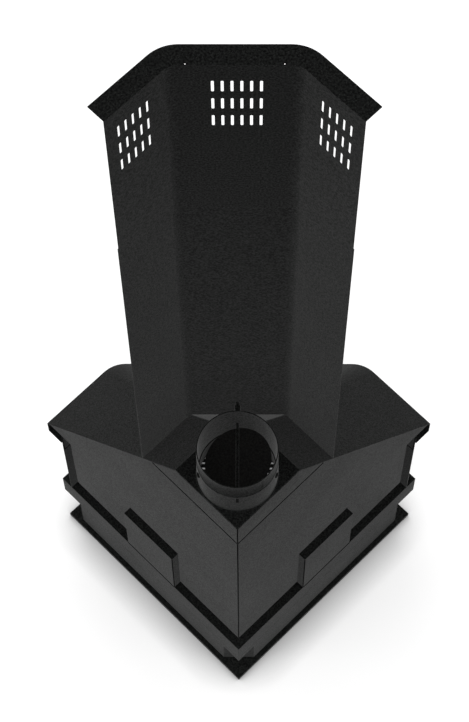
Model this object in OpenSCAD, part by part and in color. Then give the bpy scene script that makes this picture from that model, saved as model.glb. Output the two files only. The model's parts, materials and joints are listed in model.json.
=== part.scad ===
// Corner fireplace of folded sheet steel: plinth, hearth, hipped mantel and telescopic hood.
// Plan sizes run along the two room walls, a along the left one and b along the right one,
// from the corner of the base tray. +Z is up and the fire looks along -Y.

/* [Base and plinth] */
// Length of the base tray along each wall
base_side = 543; // [530:1:560]
// Distance of the base tray's front edge from the room corner
base_front = 550; // [545:1:558]
// Height of the folded base tray
base_h = 12; // [10:1:20]
// Gap between the plinth's rear planes and the walls
wall_gap = 11; // [8:1:16]
// Length of the plinth along each wall
plinth_side = 510; // [500:1:520]
// Distance of the plinth's front from the room corner
plinth_front = 530; // [526:1:540]
// Height of the plinth above the base tray
plinth_h = 107; // [90:1:140]
// Length of the clipped rear corner along each wall
notch_side = 47; // [30:1:60]
// Height of the clipped rear corner
notch_h = 88; // [60:1:89]

/* [Hearth] */
// Length of the hearth slab along each wall
hearth_side = 560; // [556:1:566]
// Distance of the hearth slab's front from the room corner
hearth_front = 565; // [562:1:570]
// Height of the hearth slab
hearth_h = 72; // [68:1:90]
// Thickness of the hearth's top plate
hearth_top_t = 3; // [2:0.5:5]
// Half width of the fire grate's opening
grate_half_w = 95; // [80:1:100]
// Depth of the fire grate's opening from front to back
grate_depth = 150; // [120:1:160]
// Distance of the grate opening's rear edge from the room corner
grate_rear = 235; // [225:1:245]
// Thickness of the fire grate
grate_t = 10; // [8:1:14]
// Spacing of the slots in the grate and in the air inlet
slot_pitch = 12.3; // [11:0.1:14]
// Width of each slot in the grate and in the air inlet
slot_w = 4; // [3:0.5:5]
// Distance of the first air inlet slot from the room corner
inlet_rear = 402.5; // [401:0.5:406]
// Number of air inlet slots
inlet_count = 5; // [3:1:5]

/* [Firebox] */
// Gap between the heat shields and the walls
shield_gap = 29; // [28:1:32]
// Height of the heat shields above the hearth
shield_h = 655; // [600:1:680]
// Distance of the firebox's steel back from the walls
firebox_gap = 48; // [44:1:54]
// Height of the firebox and its lining
firebox_h = 239; // [225:1:245]
// Thickness of the fireclay lining
brick_t = 25; // [20:1:28]
// Thickness of the folded sheet steel
sheet = 2; // [1.5:0.5:2.5]
// Width of the cheek boxes beside the fire
cheek_w = 28; // [24:1:32]
// Distance of the facade from the room corner
facade_front = 548; // [545:1:552]
// Radius of the folded corners beside the facade
casing_r = 30; // [20:1:40]
// Half width of the door opening
opening_half_w = 178; // [165:1:182]
// Height of the door opening
opening_h = 160; // [140:1:164]
// Height of the door opening's sill above the hearth
opening_sill = 14; // [12:1:18]
// Half width of the log guard
guard_half_w = 150; // [120:1:160]
// Height of the log guard above the hearth
guard_h = 40; // [30:1:50]
// Depth of the log guard's foot
guard_foot = 14; // [10:1:20]
// Distance of the log guard behind the facade
guard_back = 22; // [16:1:30]
// Thickness of the floor bricks
floor_brick_t = 20; // [15:1:25]
// Distance of the floor bricks' front behind the facade
floor_brick_back = 60; // [50:1:80]
// Height of the baffle above the firebox
baffle_rise = 210; // [180:1:240]
// Distance of the baffle's front edge from the room corner
baffle_front = 215; // [200:1:225]
// Thickness of the baffle
baffle_t = 15; // [12:1:20]
// Distance of each baffle bracket from the room corner
bracket_start = 90; // [75:1:110]
// Length of each baffle bracket
bracket_w = 90; // [60:1:100]
// How far each baffle bracket stands out
bracket_out = 20; // [15:1:30]
// Thickness of each baffle bracket
bracket_t = 5; // [3:1:6]

/* [Rear air boxes] */
// Distance of each air box from the room corner
air_box_start = 207; // [180:1:230]
// Length of each air box along its wall
air_box_w = 144; // [120:1:180]
// Height of each air box
air_box_h = 195; // [150:1:220]

/* [Mantel and roof] */
// Length of the mantel along each wall
mantel_side = 600; // [592:1:620]
// Distance of the mantel's front edge from the room corner
mantel_front = 580; // [576:1:590]
// Radius of the mantel's front corners
mantel_r = 65; // [40:1:80]
// Height of the mantel's upper edge above the hearth
mantel_rise = 233; // [232:1:250]
// Height of the mantel's fascia
fascia_h = 43; // [36:1:44]
// Distance of the rear gables from the walls
gable_gap = 27; // [26:1:27]
// Height from the mantel's edge to the flat top
roof_rise = 508; // [490:1:530]
// Length of the flat top along each wall
top_side = 191; // [185:1:197]
// Distance of the flat top's front edge from the room corner
top_front = 244; // [240:1:252]

/* [Flue and damper] */
// Outer diameter of the flue collar
flue_d = 150; // [140:1:152]
// Wall thickness of the flue collar
flue_t = 2; // [1.5:0.5:3]
// Height of the flue collar above the flat top
flue_h = 128; // [110:1:160]
// Length of the collar's upper part, over which the flue pipe slides
spigot_h = 50; // [40:1:52]
// Distance of the flue's axis from the room corner
flue_back = 148; // [145:1:150]
// Height of the damper's axle above the flat top
damper_rise = 68; // [55:1:70]
// Height of the inner spigot above the flat top
neck_h = 28; // [20:1:36]
// Diameter of the damper's axle
axle_d = 6; // [5:0.5:8]
// Length of the damper's lever
damper_lever = 55; // [40:1:60]
// Diameter of the damper's plate
damper_d = 129; // [120:1:136]
// Angle by which the damper stands open at rest
damper_tilt = 18; // [0:1:30]
// Diameter of the knob on the damper's lever
lever_knob_d = 10; // [8:1:14]

/* [Hood] */
// Distance of the hood's sides from the room corner along each wall
hood_side = 287; // [280:1:292]
// Distance of the hood's front from the room corner
hood_front = 313; // [308:1:318]
// Radius of the hood's folded corners
hood_r = 32; // [24:1:40]
// Thickness of the hood's sheet
hood_t = 1.5; // [1:0.5:2]
// Height of the hood's lower section
hood_lower_h = 935; // [850:1:1000]
// Overlap of the two hood sections
hood_overlap = 32; // [25:1:60]
// Height of the hood's upper section above the lower one
hood_upper_h = 417; // [380:1:480]
// Width of the cornice around the top of the hood
cornice_w = 30; // [20:1:40]
// Spacing of the grille slots across
grille_pitch = 14; // [12:0.1:16]
// Spacing of the grille rows
grille_row = 50.5; // [45:0.5:60]
// Width of a grille slot
grille_slot_w = 4.2; // [4:0.1:7]
// Length of a grille slot
grille_slot_h = 32; // [28:1:40]
// Depth of the grilles' first row under the top of the hood
grille_drop = 62; // [58:1:70]
// How far the front grille stands to the right of the hood's middle
grille_shift = 2.7; // [0:0.1:4]
// Diameter of the two small holes in the cornice, at its fold in front
fold_hole_d = 2.4; // [1.5:0.1:3]
// Distance of these holes from the hood's middle
fold_hole_x = 70; // [60:1:76]

/* [Door] */
// Overlap of the door frame past the opening
door_overlap = 17; // [14:1:18]
// Thickness of the door frame
door_t = 16; // [14:1:18]
// Width of the door frame's members
door_frame_w = 42; // [38:1:46]
// Thickness of the glass
glass_t = 4; // [3:0.5:5]
// Thickness of the rope seal
seal_t = 6; // [5:0.5:7]
// Spacing of the glass clips
clip_pitch = 80; // [60:1:80]
// Width of each glass clip
clip_w = 18; // [12:1:24]
// Height of each glass clip
clip_h = 11; // [9:1:12]
// Thickness of each glass clip
clip_t = 2; // [1.5:0.5:2.5]
// Diameter of the hinge pins
hinge_pin_d = 8; // [6:1:9]
// Length of the door handle's lever
lever_len = 75; // [60:1:80]

/* [Ash drawer and air slide] */
// Half width of the ash drawer
drawer_half_w = 105; // [101:1:110]
// Depth of the ash box from front to back
ash_box_depth = 164; // [150:1:168]
// Height of the drawer's front
drawer_front_h = 61; // [58:1:62]
// Thickness of the air slide
slide_t = 3; // [2:0.5:4]

/* [Hidden] */
$fn = 64;
steel_black = [0.16, 0.16, 0.16];
cast_black = [0.10, 0.10, 0.10];
brick_buff = [0.72, 0.62, 0.48];
bright_steel = [0.55, 0.56, 0.58];
seal_grey = [0.35, 0.34, 0.32];
glass_smoke = [0.30, 0.28, 0.25, 0.45];
diag = sqrt(2);
// Gap between parts that move past each other, and under parts that rest
play = 0.3;
// Radial clearance of a shaft in its hole
shaft_play = 0.08;
eps = 1;
fold_r = 15;
fold_steps = 8;
tray_return = 18;

// Heights above the floor
z_plinth = base_h;
z_hearth = z_plinth + plinth_h;
z_fire = z_hearth + hearth_h;
z_mantel = z_fire + mantel_rise;
z_fascia = z_mantel - fascia_h;
z_top = z_mantel + roof_rise;
z_shield = z_fire + shield_h;
z_dome = z_fire + firebox_h;
z_rim = z_top + sheet + flue_h;
z_damper = z_top + sheet + damper_rise;

// The roof's side slope, and the height at which its sheet stands over its own underside
slope_side = roof_rise / (mantel_side - top_side);
roof_drop = sheet * sqrt(1 + slope_side * slope_side);
// The hood's inner faces meet the roof at one level, and the front slope steepens there
seat_side = hood_side - hood_t;
seat_front = hood_front - hood_t;
z_seat = z_mantel + (mantel_side - seat_side) * slope_side;
slope_front = (z_seat - z_mantel) / (mantel_front - seat_front);
z_hood = z_seat + play;
z_joint = z_hood + hood_lower_h;
z_hood_top = z_joint + hood_upper_h;

// Door, hinge and handle
opening_z = z_fire + opening_sill;
seal_y = facade_front + play;
door_back = seal_y + seal_t;
door_front = door_back + door_t;
door_half_w = opening_half_w + door_overlap;
door_z = opening_z - 9;
door_h = opening_h + 20;
window_half_w = door_half_w - door_frame_w;
hinge_x = -(door_half_w + 8);
hinge_y = door_back + 8.7;
lug_t = 8;
ear_t = 10;
lug_low_z = door_z + 4;
lug_high_z = door_z + door_h - 4 - lug_t;
handle_x = opening_half_w - 10;
handle_z = door_z + door_h / 2;
spindle_d = 10;
lever_y = door_front + 26;
lever_t = 10;

// Ash drawer and air slide
drawer_z = z_hearth + sheet + play;
drawer_wall_h = 54;
slide_y0 = inlet_rear - 10.5;
slide_y1 = inlet_rear + (inlet_count - 1) * slot_pitch + 22;
slide_z = z_fire - hearth_top_t - play - slide_t;
slide_half_w = grate_half_w + 5;
rail_y1 = slide_y1 - 12;
rod_x = drawer_half_w + 35;
rod_w = 12;
knob_y = hearth_front + 14;
ash_front = grate_rear - 7 + ash_box_depth;

// The whole object stands with its box centred on the origin
object_depth = lever_y + lever_t;
y_shift = object_depth / 2;

// Flat clearances beside the hearth's openings
inlet_half_w = grate_half_w - 5;
well_y0 = ash_front + 6;
well_y1 = plinth_front - 25;

function ab(a, b) = [(a - b) / diag, -(a + b) / diag];
// Centre of a folded front corner, for a side plane w and a front plane f
function fold_b(w, f, r) = (f - r) * diag - (w - r);
function fold_c(w, f, r) = ab(w - r, fold_b(w, f, r));

module in_frame() translate([0, y_shift, 0]) children();

// Points of a folded front corner, from the side plane w to the front plane f
function fold_arc(w, f, r) = [for (i = [0 : fold_steps]) let (t = -45 - i * 45 / fold_steps)
  fold_c(w, f, r) + r * [cos(t), sin(t)]];

// Pentagon of the corner plan: rear planes d from the walls, sides w, front f, front folds r
module plan(d, w, f, r) {
  arc = fold_arc(w, f, r);
  polygon(concat([ab(d, d), ab(w, d)], arc,
    [for (i = [fold_steps : -1 : 0]) [-arc[i][0], arc[i][1]]], [ab(d, w)]));
}

module band(d, w, f, r, t) difference() {
  plan(d, w, f, r);
  plan(d - 40, w - t, f - t, r - t);
}

module ring(d, w, f, r, t) difference() {
  plan(d, w, f, r);
  plan(d + t, w - t, f - t, r - t);
}

module prism(z0, z1) translate([0, 0, z0]) linear_extrude(z1 - z0) children();

// A flat plate along the left wall: its outline is in distance a and height z
module left_plate(b0, t) rotate([0, 0, -45]) translate([0, -b0, 0]) rotate([90, 0, 0])
  linear_extrude(t) children();

module left_box(a0, a1, b0, b1, z0, z1) rotate([0, 0, -45]) translate([a0, -b1, z0])
  cube([a1 - a0, b1 - b0, z1 - z0]);

module front_box(x0, x1, y0, y1, z0, z1) translate([x0, -y1, z0])
  cube([x1 - x0, y1 - y0, z1 - z0]);

module across(x, y, z, d, len) translate([x, -y, z]) rotate([90, 0, 0]) cylinder(d = d, h = len);

module slot_row(half_w, y, z0, z1) front_box(-half_w, half_w, y - slot_w / 2, y + slot_w / 2, z0, z1);

// Folded steel tray that carries everything, with an air opening in its floor
module base_tray() color(steel_black) in_frame() difference() {
  prism(0, base_h) plan(0, base_side, base_front, fold_r);
  prism(sheet, base_h - sheet) plan(sheet, base_side - sheet, base_front - sheet, fold_r - sheet);
  prism(-eps, sheet + eps) plan(tray_return, base_side - tray_return, base_front - tray_return, fold_r);
  front_box(-grate_half_w, grate_half_w, well_y0 + 20, base_front - tray_return, -eps, base_h + eps);
}

module plinth_rear(a0) difference() {
  left_box(a0, plinth_side - sheet - play, wall_gap, wall_gap + sheet, z_plinth, z_hearth);
  left_box(0, wall_gap + notch_side, 0, 60, z_plinth - eps, z_plinth + notch_h);
}

module plinth_rear_left() color(steel_black) in_frame() plinth_rear(wall_gap);

module plinth_rear_right() color(steel_black) in_frame() mirror([1, 0, 0])
  plinth_rear(wall_gap + sheet);

module plinth_front() color(steel_black) in_frame() prism(z_plinth, z_hearth)
  band(wall_gap, plinth_side, plinth_front, fold_r, sheet);

// Upright plate across the clipped rear corner
module plinth_corner_plate() color(steel_black) in_frame() prism(z_plinth, z_plinth + notch_h - play) {
  n = wall_gap + notch_side;
  polygon([ab(n, wall_gap), ab(wall_gap, n), ab(wall_gap + sheet, n), ab(n, wall_gap + sheet)]);
}

// Hollow hearth slab: floor and rim, with the drawer's mouth in its front
module hearth_box() color(steel_black) in_frame() difference() {
  prism(z_hearth, z_fire - hearth_top_t) plan(wall_gap, hearth_side, hearth_front, fold_r);
  prism(z_hearth + sheet, z_fire)
    plan(wall_gap + sheet, hearth_side - sheet, hearth_front - sheet, fold_r - sheet);
  front_box(-drawer_half_w - 2, drawer_half_w + 2, hearth_front - 10, hearth_front + eps,
    z_hearth + sheet, drawer_z + drawer_wall_h + 3);
  front_box(rod_x - rod_w / 2 - 2, rod_x + rod_w / 2 + 2, hearth_front - 10, hearth_front + eps,
    slide_z - 1.5, z_fire);
  front_box(-grate_half_w, grate_half_w, well_y0, well_y1, z_hearth - eps, z_hearth + sheet + eps);
}

module slide_rail() {
  front_box(slide_half_w + play, slide_half_w + 10, slide_y0, rail_y1, slide_z - 3, z_fire - hearth_top_t);
  front_box(slide_half_w - 4, slide_half_w + 10, slide_y0, rail_y1, slide_z - 3, slide_z - play);
}

// Top plate of the hearth, with the grate's opening, the air inlet and the slide's rails
module hearth_top() color(steel_black) in_frame() {
  difference() {
    prism(z_fire - hearth_top_t, z_fire) plan(wall_gap, hearth_side, hearth_front, fold_r);
    front_box(-grate_half_w, grate_half_w, grate_rear, grate_rear + grate_depth,
      z_fire - hearth_top_t - eps, z_fire + eps);
    for (i = [0 : inlet_count - 1])
      slot_row(inlet_half_w, inlet_rear + i * slot_pitch, z_fire - hearth_top_t - eps, z_fire + eps);
  }
  slide_rail();
  mirror([1, 0, 0]) slide_rail();
}

// Length along the wall at which the roof's underside stands at height z
function under_roof(z) = top_side + (z_top - roof_drop - play - z) / slope_side;

lap = 15;
// Shield and gable: flat plates whose outer edge follows the roof
module shield(a0) left_plate(shield_gap, sheet) polygon([[a0, z_fire],
  [hearth_side - cheek_w - sheet, z_fire], [hearth_side - cheek_w - sheet, z_mantel],
  [under_roof(z_mantel), z_mantel],
  [under_roof(z_shield + lap), z_shield + lap], [a0, z_shield + lap]]);

module heat_shield_left() color(steel_black) in_frame() shield(shield_gap);

module heat_shield_right() color(steel_black) in_frame() mirror([1, 0, 0])
  shield(shield_gap + sheet);

module gable(a0) left_plate(gable_gap, shield_gap - gable_gap) polygon([[a0, z_shield],
  [under_roof(z_shield), z_shield], [under_roof(z_top - roof_drop - play), z_top - roof_drop - play],
  [a0, z_top - roof_drop - play]]);

module gable_strip_left() color(steel_black) in_frame() gable(gable_gap);

module gable_strip_right() color(steel_black) in_frame() mirror([1, 0, 0]) gable(shield_gap);

// Spacer box that stands off the wall and lets cool air rise behind the shield
module air_box() difference() {
  left_box(air_box_start, air_box_start + air_box_w, wall_gap, shield_gap, z_fire, z_fire + air_box_h);
  left_box(air_box_start + sheet, air_box_start + air_box_w - sheet, wall_gap + sheet, shield_gap + eps,
    z_fire + sheet, z_fire + air_box_h - sheet);
}

module rear_air_box_left() color(steel_black) in_frame() air_box();

module rear_air_box_right() color(steel_black) in_frame() mirror([1, 0, 0]) air_box();

firebox_side = hearth_side - cheek_w - sheet - 2;
firebox_front = facade_front - sheet - play;
lining_side = firebox_side - sheet - play;

// Steel liner of the firebox, open to the front
module firebox_shell() color(cast_black) in_frame() difference() {
  prism(z_fire, z_dome) ring(firebox_gap, firebox_side, firebox_front + 60, 4, sheet);
  front_box(-500, 500, firebox_front, firebox_front + 100, z_fire - eps, z_dome + eps);
}

lining_gap = firebox_gap + sheet + play;
// Where the side lining stops short of the facade
side_brick_b = (facade_front - sheet - 6) * diag - lining_side;

module brick_rear_left() color(brick_buff) in_frame()
  left_box(lining_gap, lining_side - brick_t, lining_gap, lining_gap + brick_t, z_fire, z_dome);

module brick_rear_right() color(brick_buff) in_frame() mirror([1, 0, 0])
  left_box(lining_gap + brick_t, lining_side - brick_t, lining_gap, lining_gap + brick_t, z_fire, z_dome);

module side_brick() left_box(lining_side - brick_t, lining_side, lining_gap, side_brick_b, z_fire, z_dome);

module brick_side_left() color(brick_buff) in_frame() side_brick();

module brick_side_right() color(brick_buff) in_frame() mirror([1, 0, 0]) side_brick();

// Fireclay slabs on each side of the grate
module floor_bricks() color(brick_buff) in_frame() for (side = [0, 1]) mirror([side, 0, 0])
  difference() {
    prism(z_fire, z_fire + floor_brick_t)
      plan(lining_gap + brick_t, lining_side - brick_t, facade_front - floor_brick_back, 4);
    front_box(-hearth_side, slide_half_w + 4, 0, hearth_front, z_fire - eps, z_fire + floor_brick_t + eps);
  }

// Cast grate that drops into the hearth's opening
module fire_grate() color(cast_black) in_frame() difference() {
  union() {
    front_box(-grate_half_w + play, grate_half_w - play, grate_rear + play,
      grate_rear + grate_depth - play, z_fire - hearth_top_t, z_fire);
    front_box(-grate_half_w - 4, grate_half_w + 4, grate_rear - 4, grate_rear + grate_depth + 4,
      z_fire, z_fire + grate_t - hearth_top_t);
  }
  for (i = [0 : floor((grate_depth - 2 * slot_pitch) / slot_pitch)]) for (x = [-1, 1])
    front_box(x * grate_half_w / 2 - grate_half_w / 2 + 6, x * grate_half_w / 2 + grate_half_w / 2 - 6,
      grate_rear + (i + 1) * slot_pitch - slot_w / 2, grate_rear + (i + 1) * slot_pitch + slot_w / 2,
      z_fire - hearth_top_t - eps, z_fire + grate_t);
}

guard_y = facade_front - guard_back;
guard_t = 4;
// Low fender that keeps logs off the glass
module log_guard() color(cast_black) in_frame() {
  front_box(-guard_half_w, guard_half_w, guard_y - guard_foot, guard_y, z_fire, z_fire + guard_t);
  front_box(-guard_half_w, guard_half_w, guard_y - guard_t, guard_y, z_fire + guard_t, z_fire + guard_h);
}

casing_top = min(z_mantel + (mantel_side - hearth_side) * slope_side,
  z_mantel + (mantel_front - facade_front) * slope_front) - roof_drop - 3;
corner_x = fold_c(hearth_side, facade_front, casing_r)[0];
cheek_in = hearth_side - cheek_w;

// Box cheek beside the fire: outer sheet folded round to the facade, inner sheet and rear return
module cheek() {
  prism(z_fire, casing_top) intersection() {
    band(-40, hearth_side, facade_front, casing_r, sheet);
    polygon([ab(cheek_in - 60, shield_gap + sheet + play), ab(700, shield_gap + sheet + play),
      [900, -700], [corner_x, -700], [corner_x, -300]]);
  }
  prism(z_fire, z_mantel - play) {
    polygon([ab(cheek_in, wall_gap), ab(cheek_in - sheet, wall_gap), ab(cheek_in - sheet, side_brick_b),
      ab(cheek_in, side_brick_b)]);
    polygon([ab(cheek_in - sheet, wall_gap), ab(cheek_in, wall_gap), ab(hearth_side, shield_gap),
      ab(hearth_side, shield_gap + sheet + play), ab(hearth_side - sheet, shield_gap + sheet + play),
      ab(cheek_in, wall_gap + 2 * sheet)]);
  }
}

module cheek_left() color(steel_black) in_frame() cheek();

module cheek_right() color(steel_black) in_frame() mirror([1, 0, 0]) cheek();

module facade_panel() color(steel_black) in_frame() difference() {
  front_box(-corner_x, corner_x, facade_front - sheet, facade_front, z_fire, casing_top);
  front_box(-opening_half_w, opening_half_w, facade_front - sheet - eps, facade_front + eps,
    opening_z, opening_z + opening_h);
}

module hinge_lug(z, pin_z) {
  translate([hinge_x, -hinge_y, z]) cylinder(d = 14, h = lug_t);
  front_box(hinge_x - 7, hinge_x + 7, facade_front, hinge_y, z, z + lug_t);
  translate([hinge_x, -hinge_y, pin_z]) cylinder(d = hinge_pin_d, h = ear_t + lug_t);
}

// Fixed hinge lugs with their pins
module hinge_brackets() color(steel_black) in_frame() {
  hinge_lug(lug_low_z, lug_low_z + lug_t - 2);
  hinge_lug(lug_high_z, lug_high_z - ear_t - lug_t + 2);
}

module hinge_ear(z) difference() {
  union() {
    translate([hinge_x, -hinge_y, z]) cylinder(d = 14, h = ear_t);
    front_box(hinge_x, -door_half_w + 4, hinge_y - 6, hinge_y + 6, z, z + ear_t);
  }
  translate([hinge_x, -hinge_y, z - eps])
    cylinder(d = hinge_pin_d + 2 * shaft_play, h = ear_t + 2 * eps);
}

rebate = 7;
glass_play = 0.5;
glass_y = door_back + 3;
window_z0 = door_z + door_frame_w - 9;
window_z1 = door_z + door_h - door_frame_w + 9;
glass_z0 = window_z0 - rebate + glass_play;
glass_z1 = window_z1 + rebate - glass_play;
// Door frame with hinge ears and a rebate for the glass
module door_frame() color(cast_black) in_frame() {
  difference() {
    front_box(-door_half_w, door_half_w, door_back, door_front, door_z, door_z + door_h);
    front_box(-window_half_w, window_half_w, door_back - eps, door_front + eps, window_z0, window_z1);
    front_box(-window_half_w - rebate, window_half_w + rebate, door_back - eps, glass_y + glass_t,
      window_z0 - rebate, window_z1 + rebate);
    across(handle_x, door_back - eps, handle_z, spindle_d + 2 * shaft_play, door_t + 2 * eps);
  }
  hinge_ear(lug_low_z + lug_t + play);
  hinge_ear(lug_high_z - play - ear_t);
}

module door_glass() color(glass_smoke) in_frame()
  front_box(-window_half_w - rebate + glass_play, window_half_w + rebate - glass_play,
    glass_y, glass_y + glass_t, glass_z0, glass_z1);

// Clips that press the glass into its rebate
module glass_clips() color(bright_steel) in_frame() for (i = [-1.5 : 1 : 1.5])
  for (z = [glass_z0, glass_z1 - clip_h])
    front_box(i * clip_pitch - clip_w / 2, i * clip_pitch + clip_w / 2, glass_y - clip_t, glass_y,
      z, z + clip_h);

// Rope seal between door and facade
module door_seal() color(seal_grey) in_frame() difference() {
  front_box(-door_half_w + 3, door_half_w - 3, seal_y, door_back, door_z + 3, door_z + door_h - 3);
  front_box(-door_half_w + 11, door_half_w - 11, seal_y - eps, door_back + eps,
    door_z + 9, door_z + door_h - 9);
}

tongue_y = facade_front - sheet - 4;
// Handle: spindle through the frame, boss and lever
module door_handle() color(bright_steel) in_frame() {
  across(handle_x, tongue_y - 3, handle_z, spindle_d, lever_y + 1 - tongue_y + 3);
  across(handle_x, door_front + play, handle_z, 22, 8);
  across(handle_x, lever_y, handle_z, 20, lever_t);
  translate([handle_x - 6, -lever_y - lever_t, handle_z - lever_len]) cube([12, lever_t, lever_len]);
  across(handle_x, lever_y, handle_z - lever_len, 20, lever_t);
}

// Tongue that turns behind the facade's edge, drawn released
module latch_tongue() color(bright_steel) in_frame() difference() {
  front_box(handle_x - 6.5, handle_x + 6.5, tongue_y - 3, tongue_y + 2, handle_z - 18, handle_z + 6.5);
  across(handle_x, tongue_y - 5, handle_z, spindle_d, 12);
}

// Folded edge of the mantel, with its return closed against the casing
module mantel_fascia() color(steel_black) in_frame() {
  prism(z_fascia, z_mantel) band(gable_gap, mantel_side, mantel_front, mantel_r, sheet);
  prism(z_fascia, z_fascia + sheet) difference() {
    plan(gable_gap, mantel_side, mantel_front, mantel_r);
    plan(gable_gap - 40, hearth_side + play, facade_front + play, casing_r + play);
  }
}

hip_r = 6;
flange_w = 10;
neck_d = flue_d - 2 * flue_t - 2 * play;
skin = 0.01;
// A thin slice of the plan, with its upper face at height z
module level(z, d, w, f, r) prism(z - skin, z) plan(d, w, f, r);

module roof_form(drop, d) {
  hull() {
    level(z_mantel - drop, d, mantel_side, mantel_front, mantel_r);
    level(z_seat - drop, d, seat_side, seat_front, hip_r);
  }
  hull() {
    level(z_seat - drop + skin, d, seat_side, seat_front, hip_r);
    level(z_top - drop, d, top_side, top_front, hip_r);
  }
}

// Hipped roof over the fire: side slopes, front slope and an inner flange for the flat top
module roof_cover() color(steel_black) in_frame() difference() {
  roof_form(0, gable_gap);
  roof_form(roof_drop, gable_gap - 40);
  prism(z_mantel - 60, z_mantel) plan(-60, mantel_side + 60, mantel_front + 60, mantel_r);
  prism(z_top - 20, z_top + eps) plan(-60, top_side - flange_w, top_front - flange_w, hip_r);
  translate([0, -flue_back, z_top - 20]) cylinder(d = neck_d + 2 * play, h = 20 + eps);
}

module top_plate() color(steel_black) in_frame() difference() {
  prism(z_top, z_top + sheet) plan(gable_gap, top_side, top_front, hip_r);
  translate([0, -flue_back, z_top - eps]) cylinder(d = flue_d - 2 * flue_t, h = sheet + 2 * eps, $fn = 96);
}

dome_top_side = top_side - 21;
dome_top_front = top_front - 18;
dome_z1 = z_top - 8;
module dome_form(inset, low, high) hull() {
  level(z_dome - low + skin, firebox_gap + inset, firebox_side - inset, firebox_front - inset, 4);
  level(dome_z1 - high, firebox_gap + inset, dome_top_side - inset, dome_top_front - inset, 4);
}

// Tapered smoke chamber that gathers the smoke to the flue
module smoke_dome() color(cast_black) in_frame() difference() {
  dome_form(0, 0, 0);
  dome_form(sheet, skin, sheet);
  translate([0, -flue_back, dome_z1 - 10]) cylinder(d = flue_d - 2 * flue_t - 4, h = 20);
}

baffle_z = z_dome + baffle_rise;
baffle_gap = firebox_gap + sheet + 3;
// Deflector that turns the smoke forward before it reaches the flue
module baffle_plate() color(brick_buff) in_frame() prism(baffle_z, baffle_z + baffle_t) {
  a = baffle_front * diag - baffle_gap;
  polygon([ab(baffle_gap, baffle_gap), ab(a, baffle_gap), ab(baffle_gap, a)]);
}

module baffle_brackets() color(cast_black) in_frame() for (side = [0, 1]) mirror([side, 0, 0])
  left_box(bracket_start, bracket_start + bracket_w, firebox_gap + sheet, firebox_gap + sheet + bracket_out,
    baffle_z - bracket_t, baffle_z);

collar_z = z_top + sheet;
// Short inner spigot between the smoke chamber and the collar
module smoke_neck() color(cast_black) in_frame() translate([0, -flue_back, dome_z1]) difference() {
  cylinder(d = neck_d, h = collar_z + neck_h - dome_z1, $fn = 96);
  translate([0, 0, -eps]) cylinder(d = neck_d - 2 * flue_t, h = flue_h, $fn = 96);
}

// Turns a shape that points along +X to the two screws at the rear of the collar
module at_screws() for (s = [-1, 1]) translate([0, -flue_back, z_damper]) rotate([0, 0, 90 - s * 68])
  children();

stop_step = 0.8;
// Flue collar with a small stop for the flue pipe, the damper's bearing holes and two screw holes
module flue_collar() color(steel_black) in_frame() difference() {
  translate([0, -flue_back, collar_z]) {
    cylinder(d = flue_d, h = flue_h, $fn = 96);
    cylinder(d = flue_d + 2 * stop_step, h = flue_h - spigot_h, $fn = 96);
  }
  translate([0, -flue_back, collar_z - eps])
    cylinder(d = flue_d - 2 * flue_t, h = flue_h + 2 * eps, $fn = 96);
  across(0, flue_back - flue_d, z_damper, axle_d + 2 * shaft_play, 2 * flue_d);
  at_screws() translate([flue_d / 2 - 8, 0, 0]) rotate([0, 90, 0]) cylinder(d = 5 + 2 * shaft_play, h = 16);
}

// Screws in the collar, in the plane of the damper's axle
module collar_screws() color(steel_black) in_frame() at_screws() {
  head = flue_d / 2 + stop_step + play;
  translate([flue_d / 2 - flue_t, 0, 0]) rotate([0, 90, 0])
    cylinder(d = 5, h = head + 1 - flue_d / 2 + flue_t);
  translate([head, 0, 0]) rotate([0, 90, 0]) cylinder(d = 11, h = 4);
}

axle_rear = flue_back - flue_d / 2 - 8;
axle_end = flue_back + flue_d / 2 + 40;
hub_y = axle_end - 19;
// Axle that crosses the collar, with its lever in front
module damper_axle() color(steel_black) in_frame()
  across(0, axle_rear, z_damper, axle_d, axle_end - axle_rear);

// Turns a shape about the damper's axle, from the closed position to the rest position
module at_axle(y) translate([0, -y, z_damper]) rotate([0, damper_tilt, 0]) children();

// Damper plate under its axle, smaller than the collar so that some smoke can always pass
module damper_disc() color(cast_black) in_frame() at_axle(flue_back)
  translate([0, 0, -axle_d / 2 - sheet]) cylinder(d = damper_d, h = sheet, $fn = 96);

// Lever on the front end of the damper's axle, straight down while the damper is closed
module damper_handle() color(steel_black) in_frame() difference() {
  union() {
    across(0, hub_y, z_damper, 11, 12);
    at_axle(hub_y) translate([-2.5, -8.5, -damper_lever]) cube([5, 5, damper_lever]);
    at_axle(hub_y) translate([0, 2, -damper_lever]) rotate([90, 0, 0]) cylinder(d = lever_knob_d, h = 16);
  }
  across(0, hub_y - eps, z_damper, axle_d, 14);
}

module grille_slot(w, h) {
  square([w, h - w], center = true);
  for (s = [-1, 1]) translate([0, s * (h - w) / 2]) circle(d = w, $fn = 24);
}

grille_z = z_hood_top - grille_drop;
grille_b = 80;
module hood_form(inset, z0, z1) prism(z0, z1)
  band(gable_gap, hood_side - inset, hood_front - inset, hood_r - inset, hood_t);

foot_notch = 3;
// Lower section of the open-backed hood, with its foot notched at the folds for the roof's hips
module hood_lower() color(steel_black) in_frame() difference() {
  hood_form(0, z_hood, z_joint);
  prism(z_hood - eps, z_hood + foot_notch) plan(0, seat_side - play / 3, seat_front - play / 3, hip_r);
}

module side_grille() left_side_holes() for (i = [-2 : 2]) for (j = [0 : 2])
  translate([grille_b + i * grille_pitch, grille_z - j * grille_row])
    grille_slot(grille_slot_w, grille_slot_h);

// Cuts an outline in distance b and height z through the hood's left side
module left_side_holes() rotate([0, 0, -45]) mirror([0, 1, 0]) translate([hood_side - 20, 0, 0])
  rotate([90, 0, 90]) linear_extrude(40) children();

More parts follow.
